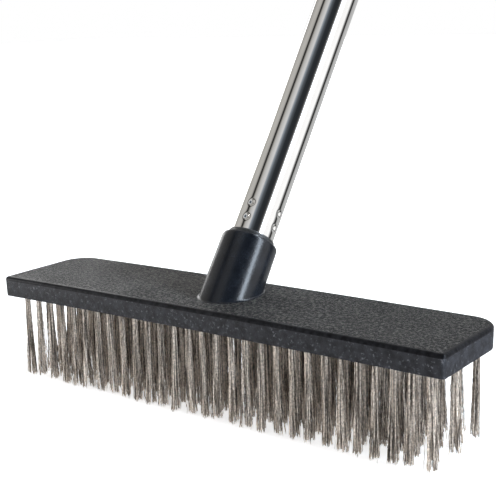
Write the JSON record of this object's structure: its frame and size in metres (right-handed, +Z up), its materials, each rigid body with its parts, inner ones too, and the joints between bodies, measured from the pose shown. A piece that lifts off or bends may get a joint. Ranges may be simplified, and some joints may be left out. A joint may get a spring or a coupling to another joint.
{
  "type": "wire scrubbing brush with handle",
  "caption": "Wide scrubbing brush: a flat moulded block with rows of crimped steel wire tufts and a slanted socket that holds a screw-in steel tube handle with a hanging cap.",
  "frame": {"origin": "middle of the plane that the tips of the tufts stand on, under the middle of the block", "axes": "+X along the block, +Y from its front edge to its back edge, the side the handle leans to, +Z up from the tuft tips to the block"},
  "size_m": [0.3198, 0.8539, 1.1864],
  "materials": {
    "block_plastic": "black moulded polypropylene, spark-textured top, smoother edges and socket",
    "wire": "fine crimped stainless wire, warm grey",
    "anchor_steel": "plain cut flat wire",
    "washer_plastic": "black nylon",
    "tip_plastic": "black moulded nylon",
    "tube_steel": "polished stainless steel",
    "cap_plastic": "black moulded polypropylene"
  },
  "bodies": {
    "head": {"brush_block": "block_plastic", "tufts_01": "wire", "tufts_02": "wire", "tufts_03": "wire", "tufts_04": "wire", "tufts_05": "wire", "tufts_06": "wire", "tufts_07": "wire", "tufts_08": "wire", "tufts_09": "wire", "tufts_10": "wire", "tufts_11": "wire", "tufts_12": "wire", "tufts_13": "wire", "tufts_14": "wire", "tufts_15": "wire", "tufts_16": "wire", "tufts_17": "wire", "tufts_18": "wire", "tufts_19": "wire", "tufts_20": "wire", "tufts_21": "wire", "tufts_22": "wire", "tufts_23": "wire", "tufts_24": "wire", "tufts_25": "wire", "tufts_26": "wire", "tufts_27": "wire", "tufts_28": "wire", "tufts_29": "wire", "anchors_row_1": "anchor_steel", "anchors_row_2": "anchor_steel", "anchors_row_3": "anchor_steel", "anchors_row_4": "anchor_steel", "anchors_row_5": "anchor_steel"},
    "washer": {"thrust_washer": "washer_plastic"},
    "handle": {"handle_tip": "tip_plastic", "handle_tube": "tube_steel", "end_cap": "cap_plastic"}
  },
  "joints": [
    {"name": "handle_lift", "type": "slide", "parent": "head", "child": "washer", "axis": [0, 0.5878, 0.809], "range_m": [0, 0.025]},
    {"name": "handle_screw", "type": "hinge", "parent": "washer", "child": "handle", "pos_m": [0, 0.0024, 0.069], "axis": [0, 0.5878, 0.809], "range_deg": [0, 1801]}
  ],
  "couplings": [
    {"joint": "handle_screw", "follows": "handle_lift", "rad_per_m": 1256.6}
  ]
}
